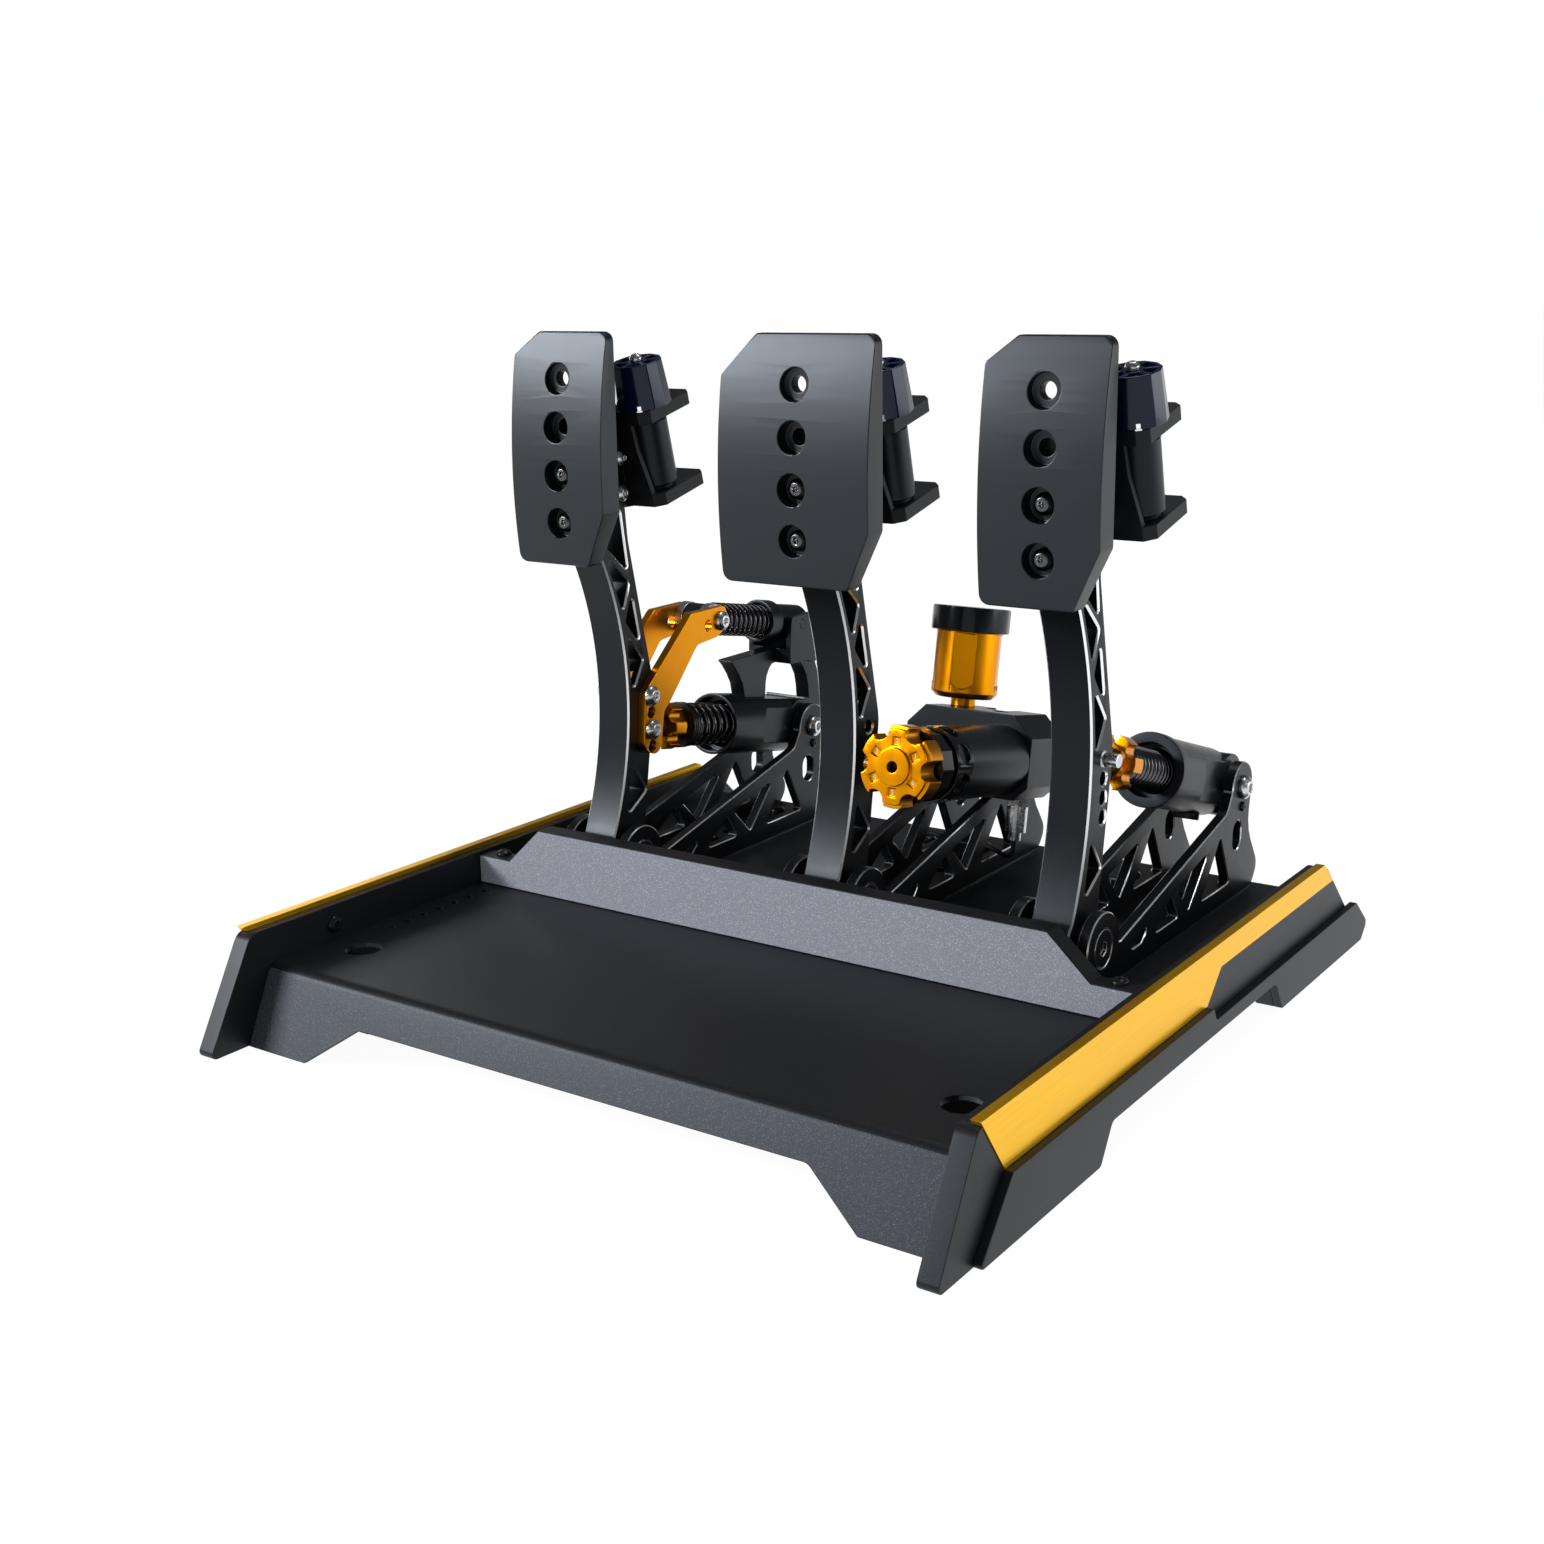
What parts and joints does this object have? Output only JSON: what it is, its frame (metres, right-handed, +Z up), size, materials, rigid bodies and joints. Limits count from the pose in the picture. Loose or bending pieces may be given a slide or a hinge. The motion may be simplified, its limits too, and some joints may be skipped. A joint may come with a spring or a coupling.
{
  "type": "sim racing pedal set",
  "caption": "Floor pedal set for driving games: truss-cut arms with bored faces, spring units, adjuster knobs and a fluid reservoir on a folded sheet base.",
  "frame": {"origin": "on the floor, in the middle of the set's length and width", "axes": "+X to the driver's right, +Y away from the driver (the way a pedal is pressed), +Z up"},
  "size_m": [0.4386, 0.4869, 0.351],
  "materials": {
    "powder_coat": "fine textured powder coat",
    "satin_black": "satin anodised black with polished edges",
    "gold": "satin gold anodised, brushed on the trim",
    "steel": "bright machined",
    "black_steel": "black oxide",
    "spring_black": "glossy black",
    "motor_black": "fine matte",
    "blue_cap": "translucent dark blue",
    "black_cap": "glossy black",
    "cable_black": "matte cable jacket"
  },
  "bodies": {
    "base": {"deck_plate": "powder_coat", "heel_stop": "powder_coat", "side_plate_left": "powder_coat", "side_plate_right": "powder_coat", "trim_left": "gold", "trim_right": "gold", "side_cover_left": "powder_coat", "side_cover_right": "powder_coat", "foot_brackets": "powder_coat", "base_screws": "black_steel", "module_bases": "satin_black", "hinge_bolts": "steel", "clutch_bracket_left": "satin_black", "clutch_bracket_right": "satin_black", "brake_bracket_left": "satin_black", "brake_bracket_right": "satin_black", "throttle_bracket_left": "satin_black", "throttle_bracket_right": "satin_black", "sensor_lead": "cable_black"},
    "clutch_pedal": {"clutch_arm": "satin_black", "clutch_face": "satin_black", "clutch_motor_bracket": "motor_black", "clutch_motor": "motor_black", "clutch_motor_cap": "blue_cap", "clutch_fasteners": "steel", "clutch_link_left": "gold", "clutch_link_right": "gold"},
    "brake_pedal": {"brake_arm": "satin_black", "brake_face": "satin_black", "brake_motor_bracket": "motor_black", "brake_motor": "motor_black", "brake_motor_cap": "blue_cap", "brake_fasteners": "steel"},
    "throttle_pedal": {"throttle_arm": "satin_black", "throttle_face": "satin_black", "throttle_motor_bracket": "motor_black", "throttle_motor": "motor_black", "throttle_motor_cap": "blue_cap", "throttle_fasteners": "steel"},
    "clutch_unit": {"clutch_cylinder": "satin_black", "clutch_spring": "spring_black", "clutch_bridge": "satin_black"},
    "clutch_push_rod": {"clutch_rod": "satin_black"},
    "clutch_preload": {"clutch_knob": "gold"},
    "clutch_upper_unit": {"clutch_upper_cylinder": "satin_black", "clutch_upper_spring": "spring_black"},
    "clutch_upper_slider": {"clutch_upper_rod": "satin_black"},
    "throttle_unit": {"throttle_cylinder": "satin_black", "throttle_spring": "spring_black"},
    "throttle_push_rod": {"throttle_rod": "satin_black"},
    "throttle_preload": {"throttle_knob": "gold"},
    "brake_unit": {"brake_block": "satin_black", "brake_cylinder": "satin_black", "brake_collar": "satin_black", "reservoir": "gold", "pressure_sensor": "steel"},
    "brake_push_rod": {"brake_rod": "satin_black"},
    "brake_preload": {"brake_knob": "gold"},
    "reservoir_lid": {"reservoir_cap": "black_cap"}
  },
  "joints": [
    {"name": "clutch_hinge", "type": "hinge", "parent": "base", "child": "clutch_pedal", "pos_m": [-0.1347, -0.0095, 0.061], "axis": [-1, 0, 0], "range_deg": [0, 10], "stiffness_Nm_per_rad": 8, "springref_deg": -14.32},
    {"name": "brake_hinge", "type": "hinge", "parent": "base", "child": "brake_pedal", "pos_m": [0.0151, -0.0095, 0.061], "axis": [-1, 0, 0], "range_deg": [0, 4.5], "stiffness_Nm_per_rad": 60, "springref_deg": -2.86},
    {"name": "throttle_hinge", "type": "hinge", "parent": "base", "child": "throttle_pedal", "pos_m": [0.1486, -0.0095, 0.061], "axis": [-1, 0, 0], "range_deg": [0, 14], "stiffness_Nm_per_rad": 5, "springref_deg": -17.19},
    {"name": "clutch_unit_tilt", "type": "hinge", "parent": "base", "child": "clutch_unit", "pos_m": [-0.1347, 0.1645, 0.1014], "axis": [1, 0, 0], "range_deg": [0, 0.9]},
    {"name": "clutch_rod_slide", "type": "slide", "parent": "clutch_unit", "child": "clutch_push_rod", "axis": [0, 0.9832, -0.1826], "range_m": [0, 0.0127], "deforming": ["clutch_spring"]},
    {"name": "clutch_knob_turn", "type": "hinge", "parent": "clutch_push_rod", "child": "clutch_preload", "pos_m": [-0.1347, 0.04062, 0.12441], "axis": [0, -0.9832, 0.1826], "continuous": true},
    {"name": "clutch_upper_tilt", "type": "hinge", "parent": "clutch_unit", "child": "clutch_upper_unit", "pos_m": [-0.1347, 0.1645, 0.166], "axis": [1, 0, 0], "range_deg": [0, 10]},
    {"name": "clutch_upper_slide", "type": "slide", "parent": "clutch_upper_unit", "child": "clutch_upper_slider", "axis": [0, 0.9842, -0.177], "range_m": [0, 0.0227], "deforming": ["clutch_upper_spring"]},
    {"name": "throttle_unit_tilt", "type": "hinge", "parent": "base", "child": "throttle_unit", "pos_m": [0.1486, 0.1645, 0.1014], "axis": [1, 0, 0], "range_deg": [0, 0.3]},
    {"name": "throttle_rod_slide", "type": "slide", "parent": "throttle_unit", "child": "throttle_push_rod", "axis": [0, 0.9545, -0.2981], "range_m": [0, 0.0225], "deforming": ["throttle_spring"]},
    {"name": "throttle_knob_turn", "type": "hinge", "parent": "throttle_push_rod", "child": "throttle_preload", "pos_m": [0.1486, 0.04423, 0.13897], "axis": [0, -0.9545, 0.2981], "continuous": true},
    {"name": "brake_unit_tilt", "type": "hinge", "parent": "base", "child": "brake_unit", "pos_m": [0.0151, 0.1645, 0.1014], "axis": [1, 0, 0], "range_deg": [0, 0.35]},
    {"name": "brake_rod_slide", "type": "slide", "parent": "brake_unit", "child": "brake_push_rod", "axis": [0, 0.9832, -0.1826], "range_m": [0, 0.0058]},
    {"name": "brake_knob_turn", "type": "hinge", "parent": "brake_unit", "child": "brake_preload", "pos_m": [0.0511, 0.00156, 0.13318], "axis": [0, -0.9832, 0.1826], "continuous": true},
    {"name": "reservoir_cap_turn", "type": "hinge", "parent": "brake_unit", "child": "reservoir_lid", "pos_m": [0.0151, 0.13788, 0.18263], "axis": [0, 0.1826, 0.9832], "continuous": true}
  ],
  "couplings": [
    {"joint": "clutch_unit_tilt", "follows": "clutch_hinge", "ratio": 0.085},
    {"joint": "clutch_rod_slide", "follows": "clutch_hinge", "m_per_rad": 0.07125},
    {"joint": "clutch_upper_tilt", "follows": "clutch_hinge", "ratio": 0.99},
    {"joint": "clutch_upper_slide", "follows": "clutch_hinge", "m_per_rad": 0.1282},
    {"joint": "throttle_unit_tilt", "follows": "throttle_hinge", "ratio": 0.015},
    {"joint": "throttle_rod_slide", "follows": "throttle_hinge", "m_per_rad": 0.09075},
    {"joint": "brake_unit_tilt", "follows": "brake_hinge", "ratio": 0.065},
    {"joint": "brake_rod_slide", "follows": "brake_hinge", "m_per_rad": 0.07125}
  ]
}
